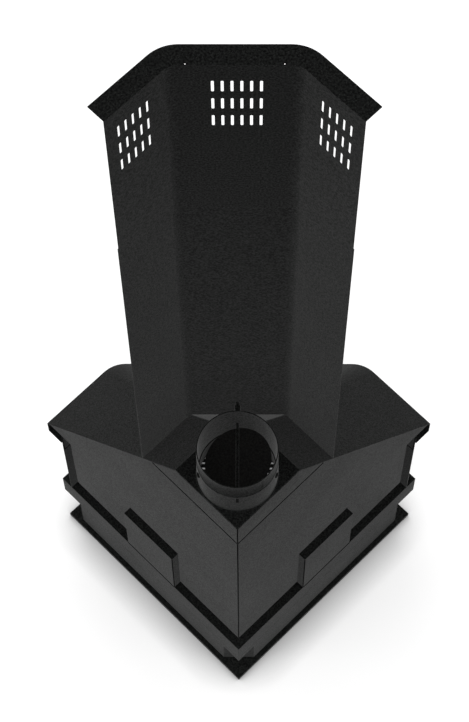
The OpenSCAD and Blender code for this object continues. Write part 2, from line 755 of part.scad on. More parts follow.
// Upper section, which slides inside the lower one and carries the grilles
module hood_upper() color(steel_black) in_frame() difference() {
  hood_form(hood_t + play, z_joint - hood_overlap, z_hood_top - sheet);
  translate([0, -hood_front + 20, 0]) rotate([90, 0, 0]) linear_extrude(40)
    for (i = [-2.5 : 1 : 2.5]) for (j = [0 : 2])
      translate([i * grille_pitch - grille_shift, grille_z - j * grille_row])
        grille_slot(grille_slot_w, grille_slot_h);
  side_grille();
  mirror([1, 0, 0]) side_grille();
}

// Flat cornice folded out from the top of the hood
module hood_cornice() color(steel_black) in_frame() prism(z_hood_top - sheet, z_hood_top) difference() {
  band(gable_gap, hood_side + cornice_w, hood_front + cornice_w, hood_r + cornice_w,
    cornice_w + 2 * hood_t + play);
  for (s = [-1, 1]) translate([s * fold_hole_x, hood_t + play - fold_hole_d / 2 + 1 - hood_front])
    circle(d = fold_hole_d, $fn = 24);
}

// Ash drawer: box under the grate and an open frame in front of it that lets air through
module ash_drawer() color(steel_black) in_frame() {
  rear = grate_rear - 7;
  for (s = [0, 1]) mirror([s, 0, 0])
    front_box(drawer_half_w - sheet, drawer_half_w, rear, hearth_front + play, drawer_z,
      drawer_z + drawer_wall_h);
  front_box(-drawer_half_w + sheet, drawer_half_w - sheet, rear, ash_front, drawer_z, drawer_z + sheet);
  for (y = [rear, ash_front - sheet])
    front_box(-drawer_half_w + sheet, drawer_half_w - sheet, y, y + sheet, drawer_z + sheet,
      drawer_z + drawer_wall_h);
  front_box(-drawer_half_w - 13, drawer_half_w + 13, hearth_front + play, hearth_front + play + sheet,
    drawer_z, drawer_z + drawer_front_h);
}

pull_y = hearth_front + play + sheet;
module drawer_pull() color(bright_steel) in_frame() {
  for (x = [-45, 45]) across(x, pull_y, drawer_z + drawer_front_h / 2, 8, 16);
  translate([-60, -pull_y - 20, drawer_z + drawer_front_h / 2]) rotate([0, 90, 0]) cylinder(d = 10, h = 120);
}

// Slotted plate under the air inlet, with its rod to the front
module air_slide() color(bright_steel) in_frame() difference() {
  union() {
    front_box(-slide_half_w, slide_half_w, slide_y0 + play, slide_y1, slide_z, slide_z + slide_t);
    front_box(slide_half_w - 10, rod_x + rod_w / 2, slide_y1 - 10, slide_y1, slide_z, slide_z + slide_t);
    front_box(rod_x - rod_w / 2, rod_x + rod_w / 2, slide_y1 - 10, knob_y, slide_z, slide_z + slide_t);
  }
  for (i = [0 : inlet_count - 1])
    slot_row(inlet_half_w, inlet_rear + i * slot_pitch, slide_z - eps, slide_z + slide_t + eps);
}

module air_knob() color(bright_steel) in_frame() across(rod_x, knob_y, slide_z + slide_t / 2, 14, 16);

base_tray();
plinth_rear_left();
plinth_rear_right();
plinth_front();
plinth_corner_plate();
hearth_box();
hearth_top();
heat_shield_left();
heat_shield_right();
rear_air_box_left();
rear_air_box_right();
firebox_shell();
brick_rear_left();
brick_rear_right();
brick_side_left();
brick_side_right();
floor_bricks();
fire_grate();
log_guard();
cheek_left();
cheek_right();
facade_panel();
hinge_brackets();
mantel_fascia();
roof_cover();
gable_strip_left();
gable_strip_right();
top_plate();
smoke_dome();
baffle_plate();
baffle_brackets();
smoke_neck();
flue_collar();
collar_screws();
damper_axle();
damper_disc();
damper_handle();
hood_lower();
hood_upper();
hood_cornice();
door_frame();
door_glass();
door_seal();
glass_clips();
door_handle();
latch_tongue();
ash_drawer();
drawer_pull();
air_slide();
air_knob();
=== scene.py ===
"""Looks of a corner fireplace of black folded sheet steel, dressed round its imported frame.

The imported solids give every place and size. Each visible sheet, casting and bar is shown as a copy
of its solid with whole faces and small rounded edges, and the lining, seal, handles, knobs and
screws are new surfaces worked out on grids. Lengths are metres in the frame's own axes: +Z up,
+Y towards the room corner and +X to the fireplace's own left.
"""

import json
import logging
import math
from dataclasses import dataclass, field
from enum import Enum
from typing import ClassVar

import bmesh
import bpy
import numpy as np
from bpy.types import Camera, Light, Material, Mesh, Node, Object, World
from mathutils import Matrix, Vector

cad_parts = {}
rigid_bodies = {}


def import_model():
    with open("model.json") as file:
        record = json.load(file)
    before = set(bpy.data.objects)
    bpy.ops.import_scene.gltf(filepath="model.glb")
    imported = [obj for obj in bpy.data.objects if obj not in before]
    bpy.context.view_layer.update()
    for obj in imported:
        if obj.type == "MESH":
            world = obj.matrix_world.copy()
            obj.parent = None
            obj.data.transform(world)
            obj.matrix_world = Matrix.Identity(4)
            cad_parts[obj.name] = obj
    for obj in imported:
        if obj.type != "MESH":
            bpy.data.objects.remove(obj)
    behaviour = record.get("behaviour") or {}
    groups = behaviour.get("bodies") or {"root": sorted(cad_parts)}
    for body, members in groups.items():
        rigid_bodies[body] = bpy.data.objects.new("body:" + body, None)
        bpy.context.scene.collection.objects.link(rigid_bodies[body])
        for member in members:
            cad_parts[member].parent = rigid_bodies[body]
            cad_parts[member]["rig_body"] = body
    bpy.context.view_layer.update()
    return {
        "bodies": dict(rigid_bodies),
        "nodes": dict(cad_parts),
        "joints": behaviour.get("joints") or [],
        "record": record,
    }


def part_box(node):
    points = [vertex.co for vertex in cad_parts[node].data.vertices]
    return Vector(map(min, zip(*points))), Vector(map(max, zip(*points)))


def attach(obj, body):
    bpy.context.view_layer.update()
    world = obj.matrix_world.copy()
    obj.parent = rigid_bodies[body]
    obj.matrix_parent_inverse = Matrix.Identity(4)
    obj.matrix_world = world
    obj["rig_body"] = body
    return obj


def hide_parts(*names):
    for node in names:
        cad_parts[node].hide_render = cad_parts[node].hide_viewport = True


LOG = logging.getLogger("corner_fireplace")
MM = 0.001
TURN = 2 * math.pi
DIAGONAL = math.sqrt(2)
FOLD_DEG = 28.0  # an edge that turns less is part of a round fold
Triple = tuple[float, float, float]
Pair = tuple[float, float]
Output = tuple[Node, str | int]
Feeds = dict[str, Output]


class Slot(Enum):
    """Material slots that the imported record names."""

    STEEL = "black_steel"
    CAST = "cast_black"
    CLAY = "fireclay"
    BRIGHT = "brushed_steel"
    GLASS = "clear_glass"
    ROPE = "rope_seal"


class Axis(Enum):
    """Directions in the frame that turned pieces stand along."""

    FRONT = (0.0, -1.0, 0.0)
    LEFT = (1.0, 0.0, 0.0)


@dataclass(frozen=True)
class Box:
    """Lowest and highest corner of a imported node, in metres."""

    low: Vector
    high: Vector

    @classmethod
    def of(cls, node: str) -> "Box":
        """The box of the named node at rest."""
        return cls(*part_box(node))

    @property
    def centre(self) -> Vector:
        """The middle of the box."""
        return (self.low + self.high) / 2

    @property
    def size(self) -> Vector:
        """The box's length along each axis."""
        return self.high - self.low


def room_corner() -> float:
    """How far the room corner lies along +Y: the base tray's rear point touches it."""
    return Box.of("base_tray").high.y


def packed_points(node: str) -> np.ndarray:
    """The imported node's points, one row each."""
    vertices = FRAME["nodes"][node].data.vertices
    points = np.empty(3 * len(vertices))
    vertices.foreach_get("co", points)
    return points.reshape(-1, 3)


def frame_along(direction: Vector) -> tuple[np.ndarray, np.ndarray, np.ndarray]:
    """Three unit directions: two across the given one, and the given one itself.

    Args:
        direction: The given direction.

    Returns:
        The three directions.
    """
    along = np.array(direction, float) / np.linalg.norm(direction)
    guide = np.array([0.0, 0.0, 1.0]) if abs(along[2]) < 0.9 else np.array([1.0, 0.0, 0.0])
    across = np.cross(guide, along)
    across /= np.linalg.norm(across)
    return across, np.cross(along, across), along


@dataclass
class Shell:
    """Closed surfaces that are gathered into one mesh."""

    name: str
    points: list[np.ndarray] = field(default_factory=list)
    faces: list[list[int]] = field(default_factory=list)
    count: int = 0

    def add_grid(self, grid: np.ndarray, close_rows: bool = False, close_cols: bool = True,
                 capped: bool = False) -> None:
        """Adds a surface: grid cell (i, j) joins points (i, j), (i+1, j), (i+1, j+1) and (i, j+1).

        Args:
            grid: Points as an array of rows, columns and three coordinates.
            close_rows: Whether the last row joins the first.
            close_cols: Whether the last column joins the first.
            capped: Whether the first and the last row are each closed with one flat face.
        """
        rows, cols = grid.shape[:2]
        i, j = np.meshgrid(
            np.arange(rows if close_rows else rows - 1),
            np.arange(cols if close_cols else cols - 1),
            indexing="ij",
        )
        below, beside = (i + 1) % rows, (j + 1) % cols
        corners = [i * cols + j, below * cols + j, below * cols + beside, i * cols + beside]
        quads = np.stack(corners, axis=-1).reshape(-1, 4) + self.count
        self.faces += quads.tolist()
        if capped:
            self.faces.append((np.arange(cols)[::-1] + self.count).tolist())
            self.faces.append((np.arange(cols) + self.count + (rows - 1) * cols).tolist())
        self.points.append(grid.reshape(-1, 3))
        self.count += rows * cols

    def add_turned(self, outline: np.ndarray, foot: Vector, axis: Vector, sides: int = 48,
                   ridges: int = 0, ridge_depth: float = 0.0, ridge_span: tuple[int, int] = (0, 0)) -> None:
        """Adds a turned form: each outline point (r, h) goes round the axis at radius r and height h.

        The points in ridge_span have the radius r - ridge_depth * (1 - cos(ridges * angle)) / 2.

        Args:
            outline: Radius and height of each point, from the foot to the end.
            foot: Where height 0 lies on the axis.
            axis: Direction of growing height.
            sides: Number of points round the axis.
            ridges: Number of flutes.
            ridge_depth: Depth of each flute.
            ridge_span: First and last outline point with flutes.
        """
        across, beside, along = frame_along(axis)
        angle = np.arange(sides) * TURN / sides
        radius = np.repeat(outline[:, :1], sides, axis=1)
        flute = ridge_depth * (1 - np.cos(ridges * angle)) / 2
        radius[ridge_span[0]:ridge_span[1]] -= flute
        ring = np.cos(angle)[:, None] * across + np.sin(angle)[:, None] * beside
        self.add_grid(np.array(foot) + radius[..., None] * ring + outline[:, 1, None, None] * along)

    def add_swept(self, path: np.ndarray, across: np.ndarray, beside: np.ndarray, outline: np.ndarray,
                  closed: bool = False) -> None:
        """Adds an outline carried along a path: point = path + u * across + v * beside.

        Args:
            path: Centre points, one row each.
            across: Direction of the outline's first coordinate at each centre point.
            beside: Direction of the outline's second coordinate at each centre point.
            outline: Outline points (u, v), either one set or one set for each centre point.
            closed: Whether the path returns to its start.
        """
        grid = path[:, None] + outline[..., :1] * across[:, None] + outline[..., 1:] * beside[:, None]
        self.add_grid(grid, close_rows=closed, capped=not closed)

    def build(self, sharp_deg: float = 40.0) -> Object:
        """The gathered surfaces as one object at the origin, with doubled points merged.

        Args:
            sharp_deg: Edges that turn more than this stay sharp in the shading.

        Returns:
            The new object.
        """
        mesh = bpy.data.meshes.new(self.name)
        mesh.from_pydata(np.concatenate(self.points).tolist(), [], self.faces)
        work = bmesh.new()
        work.from_mesh(mesh)
        bmesh.ops.remove_doubles(work, verts=work.verts, dist=0.001 * MM)
        bmesh.ops.recalc_face_normals(work, faces=work.faces)
        work.to_mesh(mesh)
        work.free()
        mesh.set_sharp_from_angle(angle=math.radians(sharp_deg))
        return linked(self.name, mesh)


def linked(name: str, data: Mesh | Light | Camera) -> Object:
    """A new object at the origin, in the scene's collection, and a mesh's faces shaded smooth.

    Args:
        name: Its name.
        data: Its mesh, lamp or camera.

    Returns:
        The new object.
    """
    if isinstance(data, Mesh):
        data.polygons.foreach_set("use_smooth", np.ones(len(data.polygons), bool))
    made = bpy.data.objects.new(name, data)
    bpy.context.scene.collection.objects.link(made)
    return made


def rounded_outline(half_w: float, half_h: float, radius: float, steps: int = 6) -> np.ndarray:
    """Points of a rectangle with round corners: each corner is a quarter circle about its own centre.

    Args:
        half_w: Half the rectangle's width.
        half_h: Half its height.
        radius: Radius of the corners.
        steps: Number of points on each corner.

    Returns:
        The points, one (u, v) row each.
    """
    turn = np.linspace(0, math.pi / 2, steps) + np.arange(4)[:, None] * math.pi / 2
    u = np.array([1, -1, -1, 1])[:, None] * (half_w - radius) + radius * np.cos(turn)
    v = np.array([1, 1, -1, -1])[:, None] * (half_h - radius) + radius * np.sin(turn)
    return np.stack([u, v], axis=-1).reshape(-1, 2)


def domed_outline(radius: float, length: float, edge: float, steps: int = 6) -> np.ndarray:
    """Outline of a turned disc or bar with rounded rims, closed on its axis at both ends.

    Args:
        radius: Radius of the bar.
        length: Length of the bar.
        edge: Radius of the rims.
        steps: Number of points on each rim.

    Returns:
        The points, one (r, h) row each.
    """
    quarter = np.linspace(0, math.pi / 2, steps)
    foot = np.stack([radius - edge + edge * np.sin(quarter), edge - edge * np.cos(quarter)], axis=-1)
    head = np.stack([radius - edge + edge * np.cos(quarter), length - edge + edge * np.sin(quarter)], axis=-1)
    return np.concatenate([[[0.0, 0.0]], foot, head, [[0.0, length]]])


def folds_over(piece: Object) -> bool:
    """Whether a face of the piece lies over itself.

    Args:
        piece: The piece, with its modifiers.

    Returns:
        True if a face's triangles cover at least a square millimetre more than its own area.
    """
    shown = piece.evaluated_get(bpy.context.evaluated_depsgraph_get())
    mesh = shown.to_mesh()
    mesh.calc_loop_triangles()
    area = np.empty(len(mesh.polygons))
    part = np.empty(len(mesh.loop_triangles))
    owner = np.empty(len(mesh.loop_triangles), np.int32)
    mesh.polygons.foreach_get("area", area)
    mesh.loop_triangles.foreach_get("area", part)
    mesh.loop_triangles.foreach_get("polygon_index", owner)
    shown.to_mesh_clear()
    covered = np.bincount(owner, weights=part, minlength=len(area))
    return bool((covered > area + MM * MM).any())


def softened(node: str, edge: float) -> Object:
    """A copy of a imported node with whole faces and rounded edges, which stands for the node.

    The copy's loose triangles are merged and its flat faces joined. A bevel then rounds each
    outward edge that turns more than FOLD_DEG. It is made half as wide up to three times while a
    face folds over, and left out if that doesn't help. Weighted normals keep the flat sheets flat.

    Args:
        node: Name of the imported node.
        edge: Width of the rounded edges.

    Returns:
        The new object.
    """
    work = bmesh.new()
    work.from_mesh(FRAME["nodes"][node].data)
    bmesh.ops.remove_doubles(work, verts=work.verts, dist=0.001 * MM)
    bmesh.ops.dissolve_limit(work, angle_limit=math.radians(0.5), verts=work.verts, edges=work.edges)
    weight = work.edges.layers.float.new("bevel_weight_edge")
    for rim in work.edges:
        rim[weight] = float(rim.is_convex and rim.calc_face_angle() > math.radians(FOLD_DEG))
    mesh = bpy.data.meshes.new(f"{node}_shown")
    work.to_mesh(mesh)
    work.free()
    made = linked(mesh.name, mesh)
    bevel = made.modifiers.new("rounded_edges", "BEVEL")
    bevel.width = edge
    bevel.segments = 2
    bevel.limit_method = "WEIGHT"
    bevel.use_clamp_overlap = False
    bevel.loop_slide = False
    for _ in range(4):
        if not folds_over(made):
            LOG.info("%s: edges of %.2f mm", node, bevel.width / MM)
            break
        bevel.width /= 2
    else:
        made.modifiers.remove(bevel)
        LOG.info("%s: edges left sharp", node)
    normals = made.modifiers.new("flat_sheets", "WEIGHTED_NORMAL")
    normals.mode = "FACE_AREA"
    normals.weight = 50
    return made


def seat(piece: Object, slot: Slot, finish: "Finish", *nodes: str) -> None:
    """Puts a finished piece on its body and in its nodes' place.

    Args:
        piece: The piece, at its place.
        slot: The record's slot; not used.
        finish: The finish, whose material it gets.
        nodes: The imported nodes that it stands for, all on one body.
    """
    piece.data.materials.clear()
    piece.data.materials.append(finish.material)
    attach(piece, FRAME["nodes"][nodes[0]]["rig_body"])
    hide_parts(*nodes)
    piece.visible_glossy = False
    LOG.info("%s stands for %s", piece.name, ", ".join(nodes))


class NodeSheet:
    """The node tree of a material or a world, with short ways to add nodes and join them."""

    def __init__(self, holder: Material | World) -> None:
        """Empties the holder's tree, and adds its kind's output and the object's own coordinates."""
        holder.use_nodes = True
        self.tree = holder.node_tree
        self.tree.nodes.clear()
        self.output = self.add(f"ShaderNodeOutput{type(holder).__name__}")
        self.place = self.add("ShaderNodeTexCoord")

    def add(self, kind: str, inputs: dict | None = None, **settings: object) -> Node:
        """Adds a node.

        Args:
            kind: Blender's name for the node.
            inputs: Values of its input sockets, by name or number.
            settings: The node's own settings.

        Returns:
            The node.
        """
        node = self.tree.nodes.new(kind)
        for key, value in settings.items():
            setattr(node, key, value)
        for key, value in (inputs or {}).items():
            node.inputs[key].default_value = value
        return node

    def join(self, source: Node, out: str | int, target: Node, into: str | int) -> None:
        """Links one node's output socket to another's input socket."""
        self.tree.links.new(source.outputs[out], target.inputs[into])

    def math(self, operation: str, *terms: Output) -> Node:
        """A Math node over other nodes' outputs.

        Args:
            operation: What it works out.
            terms: Each term's node and output socket.

        Returns:
            The node.
        """
        node = self.add("ShaderNodeMath", operation=operation)
        for place, (source, out) in enumerate(terms):
            self.join(source, out, node, place)
        return node

    def noise(self, scale: float, detail: float, roughness: float, stretch: Triple = (1, 1, 1)) -> Node:
        """A noise over the object's own coordinates.

        Args:
            scale: Number of cells in a metre.
            detail: Number of finer layers.
            roughness: Share of the finer layers.
            stretch: Factor on the coordinates along each axis.

        Returns:
            The noise node.
        """
        node = self.add("ShaderNodeTexNoise", {"Scale": scale, "Detail": detail, "Roughness": roughness})
        spread = self.add("ShaderNodeMapping", {"Scale": stretch})
        self.join(self.place, "Object", spread, "Vector")
        self.join(spread, "Vector", node, "Vector")
        return node

    def blend(self, source: Node, places: Pair, first: Triple, last: Triple) -> Node:
        """A colour ramp over a noise.

        Args:
            source: The noise.
            places: Where the ramp starts and ends.
            first: Colour up to its start.
            last: Colour from its end.

        Returns:
            The ramp node.
        """
        ramp = self.add("ShaderNodeValToRGB")
        for element, place, colour in zip(ramp.color_ramp.elements, places, (first, last)):
            element.position = place
            element.color = (*colour, 1.0)
        self.join(source, "Fac", ramp, "Fac")
        return ramp

    def mix(self, share: Node, tone: Node, colour: Triple) -> Node:
        """Lays a colour over a ramp's tone.

        Args:
            share: The node whose result says how much of the colour shows.
            tone: The ramp.
            colour: The colour.

        Returns:
            The mixing node.
        """
        node = self.add("ShaderNodeMix", {"B": (*colour, 1.0)}, data_type="RGBA")
        self.join(share, "Result", node, "Factor")
        self.join(tone, "Color", node, "A")
        return node

    def span(self, source: Node, out: str | int, to: Pair, ends: Pair = (0.3, 0.7)) -> Node:
        """Maps a node's output from one range to another.

        Args:
            source: The node.
            out: Its output socket.
            to: The range that it gives.
            ends: The range that it takes.

        Returns:
            The mapping node.
        """
        names = ("From Min", "From Max", "To Min", "To Max")
        node = self.add("ShaderNodeMapRange", dict(zip(names, (*ends, *to))))
        self.join(source, out, node, "Value")
        return node

    def relief(self, source: Node, out: str | int, depth: float, strength: float,
               under: Node | None = None) -> Node:
        """A bump over a node's output.

        Args:
            source: The node that gives the height.
            out: Its output socket.
            depth: Height of the relief.
            strength: Share of the relief that shows.
            under: Another bump that it lies on.

        Returns:
            The bump node.
        """
        node = self.add("ShaderNodeBump", {"Distance": depth, "Strength": strength})
        self.join(source, out, node, "Height")
        if under is not None:
            self.join(under, "Normal", node, "Normal")
        return node


@dataclass(frozen=True)
class Finish:
    """A surface finish: the material is made once and shared by the pieces."""

    name: str
    fixed: ClassVar[dict] = {}

    @property
    def material(self) -> Material:
        """The finish's material, made the first time that it is asked for."""
        return bpy.data.materials.get(self.name) or self.make()

    def make(self) -> Material:
        """Makes the material: a shader with the finish's fixed values, fed by its own nodes.

        Returns:
            The material.
        """
        made = bpy.data.materials.new(self.name)
        sheet = NodeSheet(made)
        shader = sheet.add("ShaderNodeBsdfPrincipled", self.fixed)
        for socket, (source, out) in self.feeds(sheet).items():
            sheet.join(source, out, shader, socket)
        sheet.join(shader, "BSDF", sheet.output, "Surface")
        return made

    def feeds(self, sheet: NodeSheet) -> Feeds:
        """Adds the finish's nodes and returns the ones that feed the shader's sockets."""
        raise NotImplementedError


@dataclass(frozen=True)
class PowderCoat(Finish):
    """Matt heat-resistant powder coat: a fine grain in tone and gloss, small pale specks, a faint mottle."""

    dark: Triple = (0.0028, 0.0030, 0.0029)
    pale: Triple = (0.0132, 0.0139, 0.0134)
    speck: Triple = (0.027, 0.028, 0.027)
    grain_scale: float = 300.0
    speck_scale: float = 300.0
    grain_depth: float = 0.5 * MM
    roughness: Pair = (0.39, 0.42)
    specular: Pair = (0.011, 0.025)
    grain_range: Pair = (0.38, 0.64)
    speck_range: Pair = (0.10, 0.22)
    mottle_scale: float = 9.0

    def feeds(self, sheet: NodeSheet) -> Feeds:
        """Grain noise drives tone, shine and bump, cells give the specks and a wide noise the gloss.

        Args:
            sheet: The material's nodes.

        Returns:
            What feeds the shader.
        """
        grain = sheet.noise(self.grain_scale, 3.0, 0.62)
        shine = sheet.span(grain, "Fac", self.specular, self.grain_range)
        tone = sheet.blend(grain, self.grain_range, self.dark, self.pale)
        cells = sheet.add("ShaderNodeTexVoronoi", {"Scale": self.speck_scale})
        sheet.join(sheet.place, "Object", cells, "Vector")
        dots = sheet.span(cells, "Distance", (1.0, 0.0), self.speck_range)
        mixed = sheet.mix(dots, tone, self.speck)
        wide = sheet.noise(self.mottle_scale, 4.0, 0.6)
        gloss = sheet.span(wide, "Fac", self.roughness)
        bump = sheet.relief(grain, "Fac", self.grain_depth, 0.5)
        return {
            "Base Color": (mixed, "Result"),
            "Roughness": (gloss, "Result"),
            "Specular IOR Level": (shine, "Result"),
            "Normal": (bump, "Normal"),
        }


@dataclass(frozen=True)
class CastSkin(Finish):
    """Blackened cast iron or raw liner plate: a coarse sand-cast skin with dull and rubbed patches."""

    dark: Triple = (0.0030, 0.0030, 0.0030)
    pale: Triple = (0.0120, 0.0118, 0.0112)
    fixed: ClassVar[dict] = {"Specular IOR Level": 0.03}
    sand_scale: float = 260.0
    sand_range: Pair = (0.36, 0.66)
    sand_depth: float = 0.5 * MM
    roughness: Pair = (0.72, 0.52)

    def feeds(self, sheet: NodeSheet) -> Feeds:
        """A coarse noise gives the sand-cast relief, and a wide one the rubbed patches.

        Args:
            sheet: The material's nodes.

        Returns:
            What feeds the shader.
        """
        sand = sheet.noise(self.sand_scale, 5.0, 0.65)
        wide = sheet.noise(14.0, 4.0, 0.6)
        tone = sheet.blend(sand, self.sand_range, self.dark, self.pale)
        gloss = sheet.span(wide, "Fac", self.roughness)
        bump = sheet.relief(sand, "Fac", self.sand_depth, 0.5)
        return {"Base Color": (tone, "Color"), "Roughness": (gloss, "Result"), "Normal": (bump, "Normal")}


@dataclass(frozen=True)
class FiredClay(Finish):
    """Pale fireclay with darker grit, small pores and a smoky bloom in patches."""

    fixed: ClassVar[dict] = {"Roughness": 0.92, "Specular IOR Level": 0.2}
    clay: Triple = (0.46, 0.36, 0.25)
    sand: Triple = (0.62, 0.52, 0.39)
    soot: Triple = (0.10, 0.08, 0.065)
    grit_scale: float = 420.0
    grit_range: Pair = (0.36, 0.62)
    pore_scale: float = 300.0
    most_soot: float = 0.65

    def feeds(self, sheet: NodeSheet) -> Feeds:
        """One noise mixes clay and sand, a cell pattern gives the pores, and a wide noise lays the soot.

        Args:
            sheet: The material's nodes.

        Returns:
            What feeds the shader.
        """
        grit = sheet.noise(self.grit_scale, 6.0, 0.7)
        tone = sheet.blend(grit, self.grit_range, self.clay, self.sand)
        cloud = sheet.noise(11.0, 4.0, 0.55)
        veil = sheet.span(cloud, "Fac", (0.0, self.most_soot), (0.42, 0.72))
        mixed = sheet.mix(veil, tone, self.soot)
        pores = sheet.add("ShaderNodeTexVoronoi", {"Scale": self.pore_scale})
        sheet.join(sheet.place, "Object", pores, "Vector")
        pits = sheet.relief(pores, "Distance", 0.4 * MM, 0.4)
        bump = sheet.relief(grit, "Fac", 0.6 * MM, 0.5, pits)
        return {"Base Color": (mixed, "Result"), "Normal": (bump, "Normal")}


@dataclass(frozen=True)
class BrushedBar(Finish):
    """Brushed bright steel: fine lines along one axis, seen in its tone, gloss and relief."""

    fixed: ClassVar[dict] = {"Metallic": 1.0}
    stretch: Triple = (1.0, 1.0, 0.03)
    dark: Triple = (0.42, 0.43, 0.44)
    pale: Triple = (0.62, 0.62, 0.63)

    def feeds(self, sheet: NodeSheet) -> Feeds:
        """A noise drawn out along the brushing direction drives tone, gloss and relief alike.

        Args:
            sheet: The material's nodes.

        Returns:
            What feeds the shader.
        """
        lines = sheet.noise(1400.0, 3.0, 0.6, self.stretch)
        tone = sheet.blend(lines, (0.3, 0.7), self.dark, self.pale)
        gloss = sheet.span(lines, "Fac", (0.24, 0.42))
        bump = sheet.relief(lines, "Fac", 0.03 * MM, 0.4)
        return {"Base Color": (tone, "Color"), "Roughness": (gloss, "Result"), "Normal": (bump, "Normal")}


@dataclass(frozen=True)
class StoveGlass(Finish):
    """Clear heat-resistant glass with a faint smoky film."""

    fixed: ClassVar[dict] = {
        "Base Color": (0.80, 0.80, 0.78, 1.0), "Transmission Weight": 1.0, "IOR": 1.5,
    }

    def feeds(self, sheet: NodeSheet) -> Feeds:
        """A wide noise varies the film's gloss; the glass itself is clear and faintly grey.

        Args:
            sheet: The material's nodes.

        Returns:
            What feeds the shader.
        """
        film = sheet.noise(18.0, 4.0, 0.6)
        gloss = sheet.span(film, "Fac", (0.02, 0.10))
        return {"Roughness": (gloss, "Result")}


@dataclass(frozen=True)
class GlassFibreRope(Finish):
    """Grey glass fibre rope of fine threads."""

    fixed: ClassVar[dict] = {"Roughness": 0.9, "Specular IOR Level": 0.2}
    dark: Triple = (0.10, 0.098, 0.09)
    pale: Triple = (0.26, 0.25, 0.23)

    def feeds(self, sheet: NodeSheet) -> Feeds:
        """A fine noise gives the threads' tone and relief.

        Args:
            sheet: The material's nodes.

        Returns:
            What feeds the shader.
        """
        threads = sheet.noise(900.0, 3.0, 0.6)
        tone = sheet.blend(threads, (0.3, 0.7), self.dark, self.pale)
        bump = sheet.relief(threads, "Fac", 0.2 * MM, 0.6)
        return {"Base Color": (tone, "Color"), "Normal": (bump, "Normal")}


COAT = PowderCoat("black_powder_coat")
# Painted shade: a near-black, almost glossless coat for the beads that stand for the shadow in the rear
# seams.
SEAM_SHADE = PowderCoat("painted_seam_shade", (0.001,) * 3, (0.003,) * 3, (0.004,) * 3, specular=(0.0, 0.002))
CAST = CastSkin("blackened_casting")
CLAY = FiredClay("fired_clay")
BRUSHED = BrushedBar("brushed_upright")
BRUSHED_ACROSS = BrushedBar("brushed_across", stretch=(0.03, 1.0, 1.0))
GLASS = StoveGlass("stove_glass")
ROPE = GlassFibreRope("glass_fibre_rope")


@dataclass
class Sheetwork:
    """Folded sheets and plain castings that keep their packed form and get rounded edges."""

    slot: Slot
    finish: Finish
    edge: float
    nodes: tuple[str, ...]

    def build(self) -> None:
        """Makes and dresses a softened copy of each node."""
        for node in self.nodes:
            seat(softened(node, self.edge), self.slot, self.finish, node)


@dataclass
class Lining:
    """Fireclay lining, laid as bricks in running bond with tooled joints."""

    course: float = 60 * MM
    brick: float = 118 * MM
    joint: float = 3.0 * MM
    joint_depth: float = 1.8 * MM
    step: float = 3.0 * MM
    waviness: float = 0.35 * MM
    end_fade: float = 2 * MM
    inset: float = 0.2 * MM
    rear_reach: float = 0.2

    def relief(self, along: np.ndarray, height: np.ndarray) -> np.ndarray:
        """How far the face lies under its plane.

        Joints: depth times a smooth bell of the distance to the nearest joint line, where every
        second course is shifted by half a brick. Waviness: a product of three slow sines.

        Args:
            along: Distance along the wall.
            height: Height above the wall's foot.

        Returns:
            The depth at each point.
        """
        row = np.floor(height / self.course)
        shifted = along / self.brick + 0.5 * (row % 2)
        to_bed = np.abs(height / self.course - np.round(height / self.course)) * self.course
        to_end = np.abs(shifted - np.round(shifted)) * self.brick
        nearest = np.minimum(to_bed, to_end)
        bell = np.exp(-((nearest / self.joint) ** 4))
        wave = np.sin(along * 71) * np.sin(height * 93) * np.sin((along + height) * 41)
        return self.joint_depth * bell + self.waviness * (1 + wave) / 2

    def build(self) -> None:
        """Makes the four lining walls; the floor bricks and the baffle keep their packed form."""
        for node in ("brick_rear_left", "brick_rear_right", "brick_side_left", "brick_side_right"):
            self.wall(node)

    def wall(self, node: str) -> None:
        """One wall: its outline in thickness and height is carried along it, with relief on its fire face.

        Args:
            node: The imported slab, which lies along one of the two room walls.
        """
        corner = room_corner()
        points = packed_points(node)
        depth = corner - points[:, 1]
        spread = np.stack([points[:, 0] + depth, depth - points[:, 0]]) / DIAGONAL
        low, high = spread.min(axis=1), spread.max(axis=1)
        floor, top = points[:, 2].min(), points[:, 2].max()
        long_axis = int(np.argmax(high - low))
        thin_axis = 1 - long_axis
        faces = (low[thin_axis], high[thin_axis])
        rear_wall = faces[1] < self.rear_reach
        fire_sign = 1.0 if rear_wall else -1.0
        back_face, fire_face = faces if rear_wall else faces[::-1]
        count_long = int((high - low)[long_axis] / self.step) + 1
        count_up = int((top - floor) / self.step) + 1
        along = np.linspace(low[long_axis], high[long_axis], count_long)
        up = np.linspace(floor, top, count_up)
        sunk = self.relief(along[:, None] - along[0], up[None] - floor)
        fade = np.minimum(np.minimum(along - along[0], along[-1] - along) / self.end_fade, 1)
        face = fire_face - fire_sign * (sunk * fade[:, None] + self.inset)
        thin = np.concatenate([face, np.full((count_long, 2), back_face)], axis=1)
        back_height = np.tile([top, floor], (count_long, 1))
        height = np.concatenate([np.repeat(up[None], count_long, 0), back_height], axis=1)
        length = np.repeat(along[:, None], count_up + 2, axis=1)
        a, b = (length, thin) if long_axis == 0 else (thin, length)
        grid = np.stack([(a - b) / DIAGONAL, corner - (a + b) / DIAGONAL, height], axis=-1)
        shell = Shell(f"{node}_laid")
        shell.add_grid(grid, capped=True)
        seat(shell.build(50), Slot.CLAY, CLAY, node)


def on_wall(a: float, b: float, z: float, side: int) -> Vector:
    """The point at distance a along one room wall and b from it, at height z.

    Args:
        a: Distance along the wall from the room corner.
        b: Distance from the wall.
        z: Height above the floor.
        side: 1 for the wall on the +X side, -1 for the other one.

    Returns:
        The point in the frame: x = side * (a - b) / sqrt(2), y = corner - (a + b) / sqrt(2).
    """
    return Vector((side * (a - b) / DIAGONAL, room_corner() - (a + b) / DIAGONAL, z))


